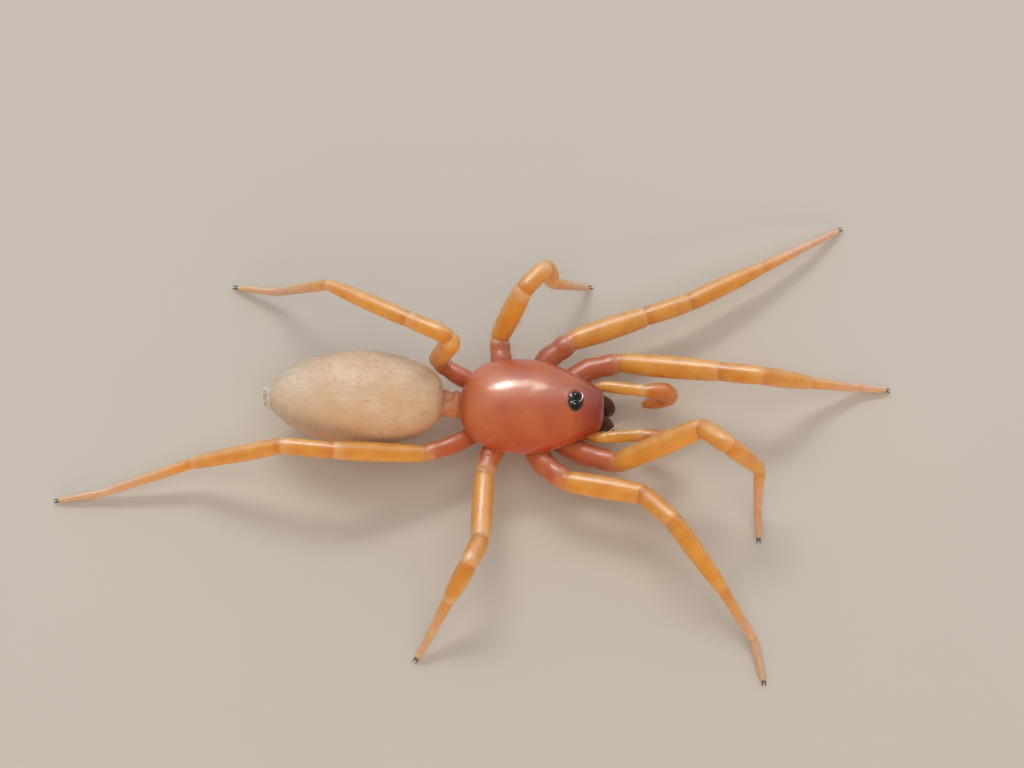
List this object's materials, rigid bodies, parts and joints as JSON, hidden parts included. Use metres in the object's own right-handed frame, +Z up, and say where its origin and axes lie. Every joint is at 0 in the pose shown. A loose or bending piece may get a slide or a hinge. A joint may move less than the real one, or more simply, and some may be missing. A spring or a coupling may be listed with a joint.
{
  "type": "caponiid ground spider, orthonops icenoglei",
  "caption": "Still life-size model of a small orange six-millimetre ground spider, standing with its legs spread and its cream abdomen level",
  "frame": {"origin": "on the floor, under the middle of the whole animal with its legs", "axes": "+X towards the head, +Y towards the spider's left side, +Z up from the floor"},
  "size_m": [0.0148, 0.0088, 0.0026],
  "materials": {
    "carapace": "glossy, slightly see-through orange-red shell",
    "eye": "glossy black lens",
    "jaw": "glossy dark red shell",
    "fang": "glossy dark brown",
    "underside": "satin orange-red shell",
    "palp": "glossy amber shell",
    "pedicel": "soft pale membrane",
    "abdomen": "silky cream skin with fine pale hairs",
    "spinnerets": "pale soft skin",
    "coxa": "glossy pinkish-red shell",
    "leg": "glossy amber shell",
    "foot": "satin pale amber shell"
  },
  "bodies": {
    "root": {"abdomen": "abdomen", "carapace": "carapace", "chelicera_left": "jaw", "chelicera_right": "jaw", "endite_left": "underside", "endite_right": "underside", "eye_left": "eye", "eye_right": "eye", "fang_left": "fang", "fang_right": "fang", "leg_left_1_coxa": "coxa", "leg_left_1_femur": "leg", "leg_left_1_foot": "foot", "leg_left_1_patella": "leg", "leg_left_1_tibia": "leg", "leg_left_2_coxa": "coxa", "leg_left_2_femur": "leg", "leg_left_2_foot": "foot", "leg_left_2_patella": "leg", "leg_left_2_tibia": "leg", "leg_left_3_coxa": "coxa", "leg_left_3_femur": "leg", "leg_left_3_foot": "foot", "leg_left_3_patella": "leg", "leg_left_3_tibia": "leg", "leg_left_4_coxa": "coxa", "leg_left_4_femur": "leg", "leg_left_4_foot": "foot", "leg_left_4_patella": "leg", "leg_left_4_tibia": "leg", "leg_right_1_coxa": "coxa", "leg_right_1_femur": "leg", "leg_right_1_foot": "foot", "leg_right_1_patella": "leg", "leg_right_1_tibia": "leg", "leg_right_2_coxa": "coxa", "leg_right_2_femur": "leg", "leg_right_2_foot": "foot", "leg_right_2_patella": "leg", "leg_right_2_tibia": "leg", "leg_right_3_coxa": "coxa", "leg_right_3_femur": "leg", "leg_right_3_foot": "foot", "leg_right_3_patella": "leg", "leg_right_3_tibia": "leg", "leg_right_4_coxa": "coxa", "leg_right_4_femur": "leg", "leg_right_4_foot": "foot", "leg_right_4_patella": "leg", "leg_right_4_tibia": "leg", "palp_left_femur": "palp", "palp_left_shank": "palp", "palp_left_tarsus": "palp", "palp_right_femur": "palp", "palp_right_shank": "palp", "palp_right_tarsus": "palp", "pedicel": "pedicel", "spinnerets": "spinnerets", "sternum": "underside"}
  },
  "joints": []
}
